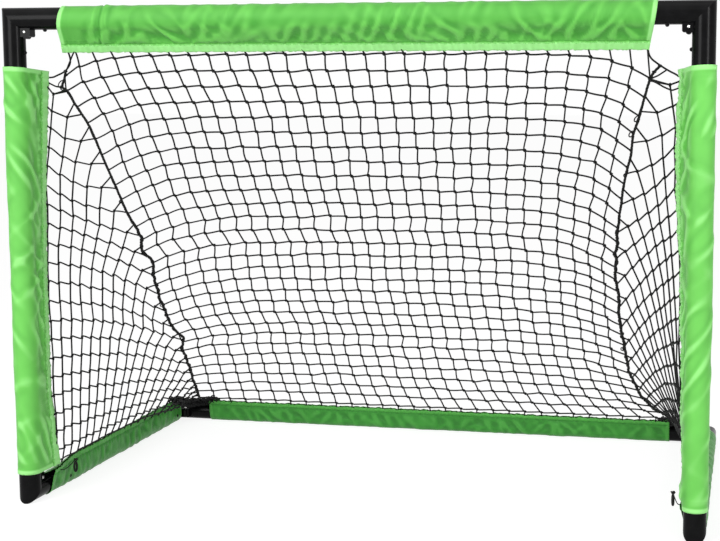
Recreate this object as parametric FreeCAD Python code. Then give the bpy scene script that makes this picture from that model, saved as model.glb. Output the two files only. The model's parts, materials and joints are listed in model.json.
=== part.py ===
import FreeCAD, Part
import math
import os

# A free-standing hockey goal of the kind that comes apart into tubes: a front frame of two posts
# and a crossbar, a flat base of two side rails and a rear rail, six corner sockets with spring
# buttons, a cloth sleeve on every tube, and a knotted net sewn to the sleeves' hems.
# Millimetres. The origin is on the ice in the middle of the footprint. X runs along the goal
# line, Y runs from the mouth to the back of the net, Z is up.

V = FreeCAD.Vector

# Size of the bare frame, over the corner sockets
frame_width = 1600.0
frame_depth = 930.0
frame_height = 1150.0

# Corner sockets: the front frame is stouter than the base
front_socket_radius = 25.0
front_socket_wall = 2.5
base_socket_radius = 22.5
base_socket_wall = 3.2
socket_clearance = 0.25
socket_seat = 31.0
front_throat_radius = 18.0
base_throat_radius = 15.0
foot_lip = 0.4

# Straight tubes, pushed into the sockets as far as the seat
front_tube_wall = 1.2
base_tube_wall = 1.2

# Reach of each socket arm from the meeting point of the two axes
top_arm = 130.0
foot_post_arm = 130.0
foot_rail_arm = 200.0
rear_arm = 130.0

# Lug in the inner angle of each corner, with its screw and nut
lug_thickness = 25.0
lug_reach_a = 20.0
lug_reach_b = 16.0
lug_corner_radius = 4.0
lug_root = 6.0
lobe_radius = 6.5
lobe_thickness = 16.0
lug_hole_a = 6.5
lug_hole_b = 4.5
lug_hole_radius = 2.1
screw_radius = 1.95
screw_sides = 8
screw_head_radius = 3.6
screw_head_rim = 0.9
screw_head_height = 2.4
nut_across_flats = 7.0
nut_height = 3.2
screw_tail = 1.0

# Spring buttons: a domed pin on a bent leaf inside the tube's end
button_radius = 4.5
button_sides = 16
hole_sides = 8
button_clearance = 0.25
button_flange_radius = 6.0
button_flange = 1.2
button_proud = 4.4
button_shoulder = 0.9
button_at = 76.0
rail_button_at = 150.0
flange_gap = 0.28
leaf_thickness = 0.7
leaf_width = 10.0
leaf_seat = 6.0
leaf_length = 36.0
leaf_bend = 5.0
leaf_bend_flats = 4
leaf_gap = 0.05
leaf_floor_gap = 0.2

# Cloth sleeves: a loose drop-shaped tube of cloth closed by a stitched hem band
cloth = 0.9
cloth_gap = 0.3
hem_width = 25.0
hem_thickness = 2.2
front_flap = 93.5
side_flap = 52.0
rear_flap = 50.0
post_flap_angle = 64.0
bar_sleeve_end = 106.0
bar_sleeve_slant = 6.0
post_sleeve_top = 112.0
post_sleeve_slant = 9.0
post_sleeve_foot = 47.0
rail_sleeve_front = 75.0
rail_sleeve_rear = 47.0
rear_sleeve_end = 104.0
pressed_flat = 0.5
buttonhole_radius = 7.5

# Net: plates of crossing strands, in fewer and larger meshes than the real 44 mm ones
strand = 3.0
back_columns = 9
back_rows = 9
side_steps = 7
strip_rows = 9
seam_x = 655.0
seam_cord_radius = 2.5
net_leg_top = 985.0

# Cords at the net's corners
cord_sides = 8
corner_cord_radius = 1.75
corner_cord_low = 994.0
tie_cord_radius = 1.1
tie_from_edge = 8.0
tie_knot_x = 718.0
tie_knot_y = -316.0
tie_knot_z = 72.0
tie_loop_radius = 2.7
tie_loop_length = 28.0
tie_loop_width = 14.0
tie_knot_radius = 4.5
tie_loop_chords = 5

# Derived places
base_sleeve_radius = base_socket_radius + cloth_gap + cloth
post_x = frame_width / 2 - front_socket_radius
front_y = -frame_depth / 2 + front_socket_radius
rear_y = frame_depth / 2 - base_socket_radius
base_z = base_sleeve_radius - pressed_flat
bar_z = frame_height - front_socket_radius

# The net's back lies in the plane through the crossbar's axis and the rear rail's axis
slope_length = math.hypot(rear_y - front_y, bar_z - base_z)
slope = V(0, (rear_y - front_y) / slope_length, (base_z - bar_z) / slope_length)
net_top = front_flap
net_bottom = slope_length - rear_flap

# Hem edges of the post and side rail sleeves, which the side nets hang between
post_flap_x = front_flap * math.cos(math.radians(post_flap_angle))
post_flap_y = front_flap * math.sin(math.radians(post_flap_angle))
side_net_x = post_x - post_flap_x
side_flap_z = math.sqrt(side_flap ** 2 - post_flap_x ** 2)


def on_slope(x, along):
    """Point of the back plane at a distance from the crossbar's axis, measured down the slope."""
    return V(x, front_y, bar_z) + slope * along


def placed(shape, origin, x_axis, z_axis):
    """The shape, drawn about the origin, moved so that its X and Z point along the given axes."""
    y_axis = z_axis.cross(x_axis)
    matrix = FreeCAD.Matrix(
        x_axis.x, y_axis.x, z_axis.x, origin.x,
        x_axis.y, y_axis.y, z_axis.y, origin.y,
        x_axis.z, y_axis.z, z_axis.z, origin.z,
        0, 0, 0, 1)
    shape.Placement = FreeCAD.Placement(matrix)
    return shape


def half_space(point, normal):
    """A body large enough to stand for all that lies beyond a plane."""
    return Part.makeCylinder(1200, 2400, point, normal)


def polygon(points):
    return Part.makePolygon(points + [points[0]])


def solid_of(rings):
    """Solid with flat faces between rings of as many points each, closed by its end rings."""
    faces = [Part.Face(polygon(rings[0][::-1])), Part.Face(polygon(rings[-1]))]
    for low, high in zip(rings, rings[1:]):
        for k in range(len(low)):
            after = (k + 1) % len(low)
            faces.append(Part.Face(polygon([low[k], low[after], high[after], high[k]])))
    return Part.Solid(Part.Shell(faces))


def turned(profile, sides):
    """Flat-sided turned body about Z, from the (radius, height) of its rings, from low to high."""
    turn = 2 * math.pi / sides
    return solid_of([[V(radius * math.cos(turn * k), radius * math.sin(turn * k), height)
                      for k in range(sides)] for radius, height in profile])


def dome(radius, shoulder, tip):
    """Rings of a dome from its rim at the shoulder to its flattened tip."""
    rise = tip - shoulder
    return [(radius, shoulder), (radius * 0.82, shoulder + rise * 0.55), (radius * 0.38, tip)]


# Corner sockets

class Arm:
    """One socket arm of a corner: its direction, its size and where its button comes out."""

    def __init__(self, name, direction, radius, reach, button_from_corner, button_out):
        stout = radius == front_socket_radius
        self.name = name
        self.direction = direction
        self.radius = radius
        self.bore = radius - (front_socket_wall if stout else base_socket_wall)
        self.throat = front_throat_radius if stout else base_throat_radius
        self.tube = self.bore - socket_clearance
        self.tube_bore = self.tube - (front_tube_wall if stout else base_tube_wall)
        self.reach = reach
        self.button_from_corner = button_from_corner
        self.button_out = button_out


def lug(inner, a, b):
    """Squarish lug with one rounded corner and a round lobe, drawn from the inner angle."""
    n = a.cross(b)

    def at(u, v, w):
        return inner + a * u + b * v + n * w

    half = lug_thickness / 2
    r = lug_corner_radius
    bend = r * (1 - math.sqrt(0.5))
    low = -lug_root
    reach_a = lug_reach_a
    reach_b = lug_reach_b
    outline = Part.Wire([
        Part.LineSegment(at(low, low, -half), at(reach_a, low, -half)).toShape(),
        Part.LineSegment(at(reach_a, low, -half), at(reach_a, reach_b - r, -half)).toShape(),
        Part.Arc(at(reach_a, reach_b - r, -half), at(reach_a - bend, reach_b - bend, -half),
                 at(reach_a - r, reach_b, -half)).toShape(),
        Part.LineSegment(at(reach_a - r, reach_b, -half), at(low, reach_b, -half)).toShape(),
        Part.LineSegment(at(low, reach_b, -half), at(low, low, -half)).toShape()])
    block = Part.Face(outline).extrude(n * lug_thickness)
    lobe = Part.makeCylinder(lobe_radius, lobe_thickness,
                             at(lug_hole_a, reach_b - 2, -lobe_thickness / 2), n)
    return block.fuse(lobe)


def lug_hole_centre(corner, arm_a, arm_b):
    inner = corner + arm_a.direction * arm_b.radius + arm_b.direction * arm_a.radius
    return inner + arm_a.direction * lug_hole_a + arm_b.direction * lug_hole_b


def corner_socket(corner, arm_a, arm_b):
    """Two socket arms that meet in a mitre, with a lug in the angle and holes for the buttons.

    Where the arms differ in size, the mitre runs from just below the outer corner, and the
    stouter arm ends in a narrow lip round the other one. Past the seats, where the tubes end,
    the arms are joined by a narrower throat."""
    a = arm_a.direction
    b = arm_b.direction
    n = a.cross(b)
    lip = 0.0 if arm_a.radius == arm_b.radius else foot_lip
    outer = corner - a * arm_b.radius - b * (arm_a.radius + lip)
    side_a = half_space(outer, a - b)
    side_b = half_space(outer, b - a)
    behind = 2 * front_socket_radius

    def cylinder(arm, radius, side):
        body = Part.makeCylinder(radius, arm.reach + behind,
                                 corner - arm.direction * behind, arm.direction)
        return body.common(side)

    outside = cylinder(arm_a, arm_a.radius, side_a).fuse(cylinder(arm_b, arm_b.radius, side_b))
    inner = corner + a * arm_b.radius + b * arm_a.radius
    body = outside.fuse(lug(inner, a, b)).removeSplitter()
    for arm, other, side in ((arm_a, b, side_a), (arm_b, a, side_b)):
        throat = placed(hole_prism(arm.throat, -behind, arm.reach), corner, other, arm.direction)
        body = body.cut(throat.common(side))
    for arm in (arm_a, arm_b):
        body = body.cut(Part.makeCylinder(arm.bore, arm.reach, corner + arm.direction * socket_seat,
                                          arm.direction))
        body = body.cut(button_hole(corner, arm))
    hole = hole_prism(lug_hole_radius, -lug_thickness, lug_thickness)
    return body.cut(placed(hole, lug_hole_centre(corner, arm_a, arm_b), a, n))


def hole_prism(radius, low, high):
    """Flat-sided hole about Z that a round pin of this radius just fits."""
    corners = radius / math.cos(math.pi / hole_sides)
    return turned([(corners, low), (corners, high)], hole_sides)


def button_hole(corner, arm):
    hole = hole_prism(button_radius + button_clearance, 0, 2 * arm.radius)
    start = corner + arm.direction * arm.button_from_corner
    return placed(hole, start, arm.direction, arm.button_out)


def lug_screw(centre, head_out):
    """Pan-head screw through a lug, its nut on the other side as a second solid."""
    half = lug_thickness / 2
    top = half + screw_head_height
    rim = half + screw_head_rim
    radius = screw_head_radius
    end = -half - nut_height - screw_tail
    screw = turned([(screw_radius, end), (screw_radius, half), (radius, half)]
                   + dome(radius, rim, top), screw_sides)
    across_corners = nut_across_flats / math.cos(math.radians(30)) / 2
    hexagon = [V(across_corners * math.cos(math.radians(60 * k)),
                 across_corners * math.sin(math.radians(60 * k)), -half - nut_height)
               for k in range(6)]
    nut = Part.Face(polygon(hexagon)).extrude(V(0, 0, nut_height))
    thread_gap = lug_hole_radius - screw_radius
    thread = screw_radius + thread_gap / 3
    nut = nut.cut(turned([(thread, -half - nut_height), (thread, -half)], screw_sides))
    side = V(0, 0, 1) if abs(head_out.z) < 0.5 else V(1, 0, 0)
    return [placed(screw, centre, side, head_out), placed(nut, centre, side, head_out)]


# Spring buttons

def flange_top(arm):
    return math.sqrt(arm.tube_bore ** 2 - button_flange_radius ** 2) - flange_gap


def spring_button(corner, arm):
    """Domed pin with a flange that keeps it inside the tube, drawn outwards from the axis."""
    top = flange_top(arm)
    low = top - button_flange
    shoulder = arm.radius + button_shoulder
    tip = arm.radius + button_proud
    wide = button_flange_radius
    button = turned([(wide, low), (wide, top), (button_radius, top)]
                    + dome(button_radius, shoulder, tip), button_sides)
    start = corner + arm.direction * arm.button_from_corner
    return placed(button, start, arm.direction, arm.button_out)


def leaf_spring(corner, arm):
    """Bent leaf inside the tube: one leg under the button, the other on the far wall."""
    seat = flange_top(arm) - button_flange - leaf_gap
    floor = -math.sqrt(arm.tube_bore ** 2 - (leaf_width / 2) ** 2) + leaf_floor_gap
    t = leaf_thickness
    bend = leaf_bend
    far = leaf_length
    half = leaf_width / 2

    def p(x, z):
        return V(x, -half, z)

    def round_end(radius, first, last):
        """Flats of the bend, from one leg to the other."""
        turns = [first + (last - first) * k / leaf_bend_flats for k in range(leaf_bend_flats + 1)]
        return [p(far + radius * math.sin(turn), radius * math.cos(turn)) for turn in turns]

    outline = ([p(-leaf_seat, seat), p(leaf_seat, seat)]
               + round_end(bend, 0, math.pi)
               + [p(leaf_seat, floor), p(-leaf_seat, floor), p(-leaf_seat, floor + t),
                  p(leaf_seat, floor + t)]
               + round_end(bend - t, math.pi, 0)
               + [p(leaf_seat, seat - t), p(-leaf_seat, seat - t)])
    leaf = Part.Face(polygon(outline)).extrude(V(0, leaf_width, 0))
    start = corner + arm.direction * arm.button_from_corner
    return placed(leaf, start, arm.direction, arm.button_out)


# Straight tubes

def straight_tube(corner, arm, far_corner, far_arm):
    """Tube from the seat in one corner's arm to the seat in another's, with its button holes."""
    start = corner + arm.direction * socket_seat
    end = far_corner + far_arm.direction * socket_seat
    length = (end - start).Length
    body = Part.makeCylinder(arm.tube, length, start, arm.direction)
    body = body.cut(Part.makeCylinder(arm.tube_bore, length, start, arm.direction))
    return body.cut(button_hole(corner, arm)).cut(button_hole(far_corner, far_arm))


# Cloth sleeves

def drop_points(radius, root, half):
    """Where lines from the hem's root touch the circle of the tube."""
    distance = math.hypot(root, half)
    angle = math.atan2(half, root) + math.acos(radius / distance)
    return V(radius * math.cos(angle), radius * math.sin(angle), 0)


def sleeve(start, end, flap_direction, socket_radius, flap, start_slant=0.0, end_slant=0.0):
    """Drop-shaped cloth tube about the line from start to end, with its hem band as the tip.

    A slant is how much shorter the hem is than the tube's far side at that end."""
    along = end - start
    direction = V(along).normalize()
    inner_radius = socket_radius + cloth_gap
    outer_radius = inner_radius + cloth
    root = flap - hem_width
    half = hem_thickness / 2
    touch = drop_points(outer_radius, root, half)
    below = V(touch.x, -touch.y, 0)
    outer = Part.Wire([
        Part.LineSegment(V(flap, -half, 0), V(flap, half, 0)).toShape(),
        Part.LineSegment(V(flap, half, 0), V(root, half, 0)).toShape(),
        Part.LineSegment(V(root, half, 0), touch).toShape(),
        Part.Arc(touch, V(-outer_radius, 0, 0), below).toShape(),
        Part.LineSegment(below, V(root, -half, 0)).toShape(),
        Part.LineSegment(V(root, -half, 0), V(flap, -half, 0)).toShape()])
    tip = max(root - 2.0, inner_radius + 1.0)
    inside = drop_points(inner_radius, tip, 0.0)
    inside_below = V(inside.x, -inside.y, 0)
    inner = Part.Wire([
        Part.LineSegment(V(tip, 0, 0), inside).toShape(),
        Part.Arc(inside, V(-inner_radius, 0, 0), inside_below).toShape(),
        Part.LineSegment(inside_below, V(tip, 0, 0)).toShape()])
    section = Part.Face(outer).cut(Part.Face(inner)).Faces[0]
    body = placed(section.extrude(V(0, 0, along.Length)), start, flap_direction, direction)
    for point, outward, slant in ((start, direction * -1, start_slant),
                                  (end, direction, end_slant)):
        if slant > 0:
            high = point - flap_direction * outer_radius
            lean = outward * (outer_radius + flap) + flap_direction * slant
            body = body.cut(half_space(high, lean))
    return body


# Net

def plate(origin, x_axis, y_axis, outline, gaps):
    """Flat plate of strands: an outline with a gap for each mesh, centred on its plane."""
    normal = x_axis.cross(y_axis)

    def ring(points):
        return polygon([origin + x_axis * x + y_axis * y - normal * (strand / 2)
                        for x, y in points])

    face = Part.Face([ring(outline)] + [ring(gap[::-1]) for gap in gaps])
    return face.extrude(normal * strand)


def mesh_gaps(left, right, low, high, columns, rows):
    """Gaps of a rectangular net, with a whole strand along every edge."""
    wide = (right - left) / columns
    tall = (high - low) / rows
    half = strand / 2
    gaps = []
    for i in range(columns):
        for j in range(rows):
            x0 = left + i * wide + (strand if i == 0 else half)
            x1 = left + (i + 1) * wide - (strand if i == columns - 1 else half)
            y0 = low + j * tall + (strand if j == 0 else half)
            y1 = low + (j + 1) * tall - (strand if j == rows - 1 else half)
            gaps.append([(x0, y0), (x1, y0), (x1, y1), (x0, y1)])
    return gaps


def back_net():
    edge = seam_x - seam_cord_radius
    outline = [(-edge, net_top), (edge, net_top), (edge, net_bottom), (-edge, net_bottom)]
    gaps = mesh_gaps(-edge, edge, net_top, net_bottom, back_columns, back_rows)
    return plate(on_slope(0, 0), V(1, 0, 0), slope, outline, gaps)


def triangle_gaps(width, height, top, steps):
    """Gaps of a net cut on the bias: whole meshes, and half ones along the sloping edge.

    The point of the triangle is cut off level at the top."""
    wide = width / steps
    tall = height / steps
    half = strand / 2
    reach = 1 - strand * math.hypot(1 / wide, 1 / tall)
    gaps = []
    for i in range(steps):
        for j in range(steps - i):
            x0 = i * wide
            y0 = j * tall
            left = x0 + (strand if i == 0 else half)
            low = y0 + (strand if j == 0 else half)
            if i + j < steps - 1:
                right = x0 + wide - half
                high = y0 + tall - half
                gaps.append([(left, low), (right, low), (right, high), (left, high)])
                continue
            right = x0 + wide * (reach - (low - y0) / tall)
            high = y0 + tall * (reach - (left - x0) / wide)
            if high < top:
                gaps.append([(left, low), (right, low), (left, high)])
                continue
            high = top - strand
            cut = x0 + wide * (reach - (high - y0) / tall)
            gaps.append([(left, low), (right, low), (cut, high), (left, high)])
    return gaps


def side_net(side):
    """Triangle between the post's hem, the rail's hem and the slope, with a strip to the seam.

    The triangle stands clear of the corners of both hems' edges."""
    half_hem = hem_thickness / 2
    post_y = front_y + post_flap_y + half_hem * post_flap_x / front_flap
    low = base_z + side_flap_z + half_hem * post_flap_x / side_flap
    fall = slope.z / slope.y
    height = bar_z + fall * (post_y - front_y) - low
    width = -height / fall
    top = net_leg_top - low
    outline = [(0, 0), (width, 0), (width * (1 - top / height), top), (0, top)]
    gaps = triangle_gaps(width, height, top, side_steps)
    corner = V(side * side_net_x, post_y, low)
    triangle = plate(corner, V(0, 1, 0), V(0, 0, 1), outline, gaps)
    first = (net_leg_top - bar_z) / slope.z
    left, right = sorted((side * side_net_x, side * (seam_x + seam_cord_radius)))
    outline = [(left, first), (right, first), (right, net_bottom), (left, net_bottom)]
    gaps = mesh_gaps(left, right, first, net_bottom, 1, strip_rows)
    strip = plate(on_slope(0, 0), V(1, 0, 0), slope, outline, gaps)
    return triangle.fuse(strip).removeSplitter()


# Cords

def arc_middle(first, corner, last):
    """Middle of the arc from first to last that is tangent to both lines at the corner."""
    chord = (first + last) * 0.5
    half_chord = (last - first).Length / 2
    to_corner = corner - chord
    radius = (corner - first).Length * half_chord / to_corner.Length
    sagitta = radius - math.sqrt(radius ** 2 - half_chord ** 2)
    return chord + to_corner.normalize() * sagitta


def flat_sided_tube(points, radius, closed=False):
    """Cord with flat sides along straight runs, mitred where they meet."""
    count = len(points)
    runs = [(points[(k + 1) % count] - points[k]).normalize()
            for k in range(count if closed else count - 1)]
    first = runs[-1] if closed else runs[0]
    start_normal = (first + runs[0]).normalize()
    side = runs[0].cross(V(0, 0, 1) if abs(runs[0].z) < 0.9 else V(1, 0, 0)).normalize()
    other = runs[0].cross(side)
    ring = []
    for k in range(cord_sides):
        turn = 2 * math.pi * (k + 0.5) / cord_sides
        across = side * (radius * math.cos(turn)) + other * (radius * math.sin(turn))
        ring.append(points[0] + across - runs[0] * (across.dot(start_normal)
                                                    / runs[0].dot(start_normal)))
    rings = [ring]
    for k, run in enumerate(runs[:-1] if closed else runs):
        place = points[k + 1]
        normal = run + runs[k + 1] if k + 1 < len(runs) else run
        ring = [corner + run * ((place - corner).dot(normal) / run.dot(normal)) for corner in ring]
        rings.append(ring)
    if not closed:
        return solid_of(rings)
    faces = []
    for low, high in zip(rings, rings[1:] + rings[:1]):
        for k in range(cord_sides):
            after = (k + 1) % cord_sides
            faces.append(Part.Face(polygon([low[k], low[after], high[after], high[k]])))
    return Part.Solid(Part.Shell(faces))


def cord_tube(name, points, radius):
    """Cord along straight runs joined by the chords of arcs as large as the runs allow."""
    path = [points[0]]
    radii = []
    for before, here, after in zip(points, points[1:], points[2:]):
        into = here - before
        out = after - here
        setback = 0.45 * min(into.Length, out.Length)
        radii.append(setback / math.tan(into.getAngle(out) / 2))
        first = here - into.normalize() * setback
        last = here + out.normalize() * setback
        path += [first, arc_middle(first, here, last), last]
    path.append(points[-1])
    body = flat_sided_tube(path, radius)
    length = sum((b - a).Length for a, b in zip(path, path[1:]))
    section = cord_sides / 2 * radius ** 2 * math.sin(2 * math.pi / cord_sides)
    print(name, "length %.0f, volume over section and length %.3f, bend radii %s"
          % (length, body.Volume / (section * length), ["%.0f" % r for r in radii]))
    return body


def seam_cord(side):
    """Thick lashing that joins the back net to a side net, from hem to hem."""
    start = on_slope(side * seam_x, net_top)
    return Part.makeCylinder(seam_cord_radius, net_bottom - net_top, start, slope)


def corner_cord(side):
    """Slack cord across the open upper corner, from the crossbar's hem to the post's hem."""
    x = side * (seam_x + seam_cord_radius + corner_cord_radius)
    flap = V(-side * post_flap_x, post_flap_y, 0).normalize()
    start = on_slope(x, net_top)
    end = V(side * side_net_x, front_y + post_flap_y, corner_cord_low)
    points = [
        start,
        start + slope * 20,
        V(side * 672, -352, 1016),
        V(side * 696, -334, 1000),
        end + flap * 20 + V(-side * 6, 2, 2),
        end + flap * 13,
        end]
    return cord_tube("corner cord", points, corner_cord_radius)


def foot_tie(side):
    """Thin cord from the foot of the post's hem to a knotted loop at the net's lower corner."""
    flap = V(-side * post_flap_x, post_flap_y, 0).normalize()
    foot = base_z + post_sleeve_foot
    start = V(side * post_x, front_y, foot) + flap * (front_flap - tie_from_edge)
    knot = V(side * tie_knot_x, tie_knot_y, tie_knot_z)
    inward = V(-side, 0, 0)
    points = [
        start,
        start - V(0, 0, 9),
        start + inward * 9.5 + V(0, 8, -8),
        start + inward * 15 + V(0, 26, -4),
        knot]
    body = cord_tube("foot tie", points, tie_cord_radius)
    r = tie_knot_radius
    tied = turned([(r * 0.4, -r * 0.92), (r * 0.86, -r * 0.5), (r, 0), (r * 0.86, r * 0.5),
                   (r * 0.4, r * 0.92)], cord_sides)
    tied.translate(knot)
    bend = tie_loop_width / 2 - tie_loop_radius
    straight = tie_loop_length - tie_loop_width
    upper = knot - V(0, 0, tie_knot_radius + bend)
    oval = []
    for centre, start_turn in ((upper, 0), (upper - V(0, 0, straight), math.pi)):
        for k in range(tie_loop_chords + 1):
            turn = start_turn + math.pi * k / tie_loop_chords
            oval.append(centre + flap * (bend * math.cos(turn)) + V(0, 0, bend * math.sin(turn)))
    loop = flat_sided_tube(oval, tie_loop_radius, closed=True)
    return body.fuse(tied).fuse(loop).removeSplitter()


# Where everything stands

def top_corner(side):
    bar = Arm("bar", V(-side, 0, 0), front_socket_radius, top_arm, button_at, V(0, 0, -1))
    post = Arm("post", V(0, 0, -1), front_socket_radius, top_arm, button_at, V(-side, 0, 0))
    return V(side * post_x, front_y, bar_z), bar, post, V(0, -1, 0)


def foot_corner(side):
    rail = Arm("rail", V(0, 1, 0), base_socket_radius, foot_rail_arm, rail_button_at,
               V(-side, 0, 0))
    post = Arm("post", V(0, 0, 1), front_socket_radius, foot_post_arm, button_at, V(0, 1, 0))
    return V(side * post_x, front_y, base_z), rail, post, V(side, 0, 0)


def rear_corner(side):
    back = Arm("back", V(-side, 0, 0), base_socket_radius, rear_arm, button_at, V(0, 1, 0))
    rail = Arm("rail", V(0, -1, 0), base_socket_radius, rear_arm, button_at, V(-side, 0, 0))
    return V(side * post_x, rear_y, base_z), back, rail, V(0, 0, 1)


parts = {}
lug_screws = []
lug_nuts = []
corners = {}
for side, side_name in ((-1, "left"), (1, "right")):
    for place, made in (("top", top_corner), ("foot", foot_corner), ("rear", rear_corner)):
        corner, arm_a, arm_b, head_out = made(side)
        corners[place, side] = corner, {arm_a.name: arm_a, arm_b.name: arm_b}
        name = "%s_%s" % (place, side_name)
        parts["corner_" + name] = corner_socket(corner, arm_a, arm_b)
        for arm in (arm_a, arm_b):
            parts["button_%s_%s" % (name, arm.name)] = spring_button(corner, arm)
            parts["leaf_%s_%s" % (name, arm.name)] = leaf_spring(corner, arm)
        screw, nut = lug_screw(lug_hole_centre(corner, arm_a, arm_b), head_out)
        lug_screws.append(screw)
        lug_nuts.append(nut)
parts["lug_screws"] = Part.makeCompound(lug_screws)
parts["lug_nuts"] = Part.makeCompound(lug_nuts)


def tube_between(name, first, last, arm_name):
    corner, arms = corners[first]
    far_corner, far_arms = corners[last]
    parts[name] = straight_tube(corner, arms[arm_name], far_corner, far_arms[arm_name])


tube_between("crossbar", ("top", -1), ("top", 1), "bar")
tube_between("rear_rail", ("rear", -1), ("rear", 1), "back")
for side, side_name in ((-1, "left"), (1, "right")):
    tube_between("post_" + side_name, ("foot", side), ("top", side), "post")
    tube_between("side_rail_" + side_name, ("foot", side), ("rear", side), "rail")


def buttonhole(corner, arm):
    start = corner + arm.direction * arm.button_from_corner
    hole = hole_prism(buttonhole_radius, 0, 2 * arm.radius)
    return placed(hole, start, arm.direction, arm.button_out)


below_ice = half_space(V(0, 0, 0), V(0, 0, -1))

bar_end = V(post_x - bar_sleeve_end, front_y, bar_z)
bar_start = V(-bar_end.x, front_y, bar_z)
parts["sleeve_crossbar"] = sleeve(bar_start, bar_end, slope, front_socket_radius, front_flap,
                                  bar_sleeve_slant, bar_sleeve_slant)

rear_end = V(post_x - rear_sleeve_end, rear_y, base_z)
rear_start = V(-rear_end.x, rear_y, base_z)
parts["sleeve_rear"] = sleeve(rear_start, rear_end, slope * -1, base_socket_radius,
                              rear_flap).cut(below_ice)

for side, side_name in ((-1, "left"), (1, "right")):
    x = side * post_x
    post_flap = V(-side * post_flap_x, post_flap_y, 0).normalize()
    parts["sleeve_post_" + side_name] = sleeve(
        V(x, front_y, base_z + post_sleeve_foot), V(x, front_y, bar_z - post_sleeve_top),
        post_flap, front_socket_radius, front_flap, 0.0, post_sleeve_slant)
    rail_flap = V(-side * post_flap_x, 0, side_flap_z).normalize()
    rail_sleeve = sleeve(
        V(x, front_y + rail_sleeve_front, base_z), V(x, rear_y - rail_sleeve_rear, base_z),
        rail_flap, base_socket_radius, side_flap).cut(below_ice)
    for place in ("foot", "rear"):
        corner, arms = corners[place, side]
        rail_sleeve = rail_sleeve.cut(buttonhole(corner, arms["rail"]))
    parts["sleeve_side_" + side_name] = rail_sleeve
    parts["net_" + side_name] = side_net(side)
    parts["seam_cord_" + side_name] = seam_cord(side)
    parts["corner_cord_" + side_name] = corner_cord(side)
    parts["foot_tie_" + side_name] = foot_tie(side)
parts["net_back"] = back_net()

os.makedirs("parts", exist_ok=True)
for name, shape in parts.items():
    shape.exportStep("parts/%s.step" % name)
    print(name, len(shape.Solids), "solid(s), %.1f cm3" % (shape.Volume / 1000),
          "" if shape.isValid() else "NOT VALID")
print(len(parts), "nodes")
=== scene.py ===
import json
import math

import bpy
import numpy as np
from mathutils import Matrix


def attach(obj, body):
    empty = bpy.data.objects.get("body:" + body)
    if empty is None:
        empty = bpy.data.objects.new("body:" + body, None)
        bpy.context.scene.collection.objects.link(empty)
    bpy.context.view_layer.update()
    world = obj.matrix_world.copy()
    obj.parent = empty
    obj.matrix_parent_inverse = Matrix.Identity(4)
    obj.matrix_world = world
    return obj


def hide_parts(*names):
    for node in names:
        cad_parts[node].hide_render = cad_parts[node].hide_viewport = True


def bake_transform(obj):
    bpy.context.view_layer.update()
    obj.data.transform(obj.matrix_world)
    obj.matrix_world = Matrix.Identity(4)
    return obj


# A hockey goal: black steel tubes in lime green cloth sleeves, with a knotted black twine net.
# Metres. X runs along the goal line, Y from the mouth to the back, Z up, the origin on the ice.

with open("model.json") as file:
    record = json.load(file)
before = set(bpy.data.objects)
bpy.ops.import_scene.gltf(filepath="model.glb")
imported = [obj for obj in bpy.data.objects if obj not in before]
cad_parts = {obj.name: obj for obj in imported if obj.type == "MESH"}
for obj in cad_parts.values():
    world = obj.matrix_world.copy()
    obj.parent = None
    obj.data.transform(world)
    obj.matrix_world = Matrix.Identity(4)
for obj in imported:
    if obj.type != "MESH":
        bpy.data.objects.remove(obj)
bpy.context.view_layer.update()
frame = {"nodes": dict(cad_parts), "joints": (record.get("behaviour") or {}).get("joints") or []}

# Axes of the tubes, the cloth's radius on them, and the reach of the sleeves' hems
POST_X = 0.775
FRONT_Y = -0.440
REAR_Y = 0.4425
BASE_Z = 0.0232
BAR_Z = 1.125
FRONT_RADIUS = 0.0262
BASE_RADIUS = 0.0237
FRONT_FLAP = 0.0935
SIDE_FLAP = 0.052
REAR_FLAP = 0.050
POST_FLAP_ANGLE = math.radians(64)

# Sides of the goal, with the sign of X there
SIDES = (("left", -1), ("right", 1))


def vec(*values):
    """Vector of these values."""
    return np.array(values, float)


def unit(v):
    """One vector scaled to length one."""
    return v / np.linalg.norm(v)


def units(vectors):
    """Each vector scaled to length one."""
    return vectors / np.maximum(np.linalg.norm(vectors, axis=-1, keepdims=True), 1e-9)


def around(count):
    """Angles of evenly spaced places round a circle."""
    return np.linspace(0, 2 * math.pi, count + 1)[:-1]


SLOPE = unit(vec(0, REAR_Y - FRONT_Y, BASE_Z - BAR_Z))
SLOPE_NORMAL = vec(0, -SLOPE[2], SLOPE[1])
SLOPE_LENGTH = math.hypot(REAR_Y - FRONT_Y, BAR_Z - BASE_Z)


def on_slope(x, along, front=0.0):
    """Point of the net's back plane, or so far in front of it."""
    return vec(x, FRONT_Y, BAR_Z) + SLOPE * along - SLOPE_NORMAL * front


def slope_places(route):
    """Points for a route of (x, distance down the slope, distance in front of it)."""
    return np.array([on_slope(*place) for place in route])


def ramp(x, low, high):
    """0 below low, 1 above high, and smooth between them."""
    t = np.clip((x - low) / (high - low), 0, 1)
    return t * t * (3 - 2 * t)


def between(ends, share):
    """Value at a share of the way from one end to the other."""
    return ends[0] + (ends[1] - ends[0]) * share


def linked(name, data):
    """New object in the scene."""
    piece = bpy.data.objects.new(name, data)
    bpy.context.scene.collection.objects.link(piece)
    return piece


# Materials

def new_material(name, colour, roughness, **inputs):
    """Material with its nodes and its shader."""
    material = bpy.data.materials.new(name)
    material.use_nodes = True
    shader = material.node_tree.nodes["Principled BSDF"]
    shader.inputs["Base Color"].default_value = (*colour, 1)
    shader.inputs["Roughness"].default_value = roughness
    for key, value in inputs.items():
        shader.inputs[key.replace("_", " ")].default_value = value
    return material, material.node_tree, shader


def add_node(tree, kind, **values):
    """Node with values for its inputs and settings."""
    node = tree.nodes.new(kind)
    for key, value in values.items():
        socket = key.replace("_", " ")
        if socket in node.inputs:
            node.inputs[socket].default_value = value
        else:
            setattr(node, key, value)
    return node


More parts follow.
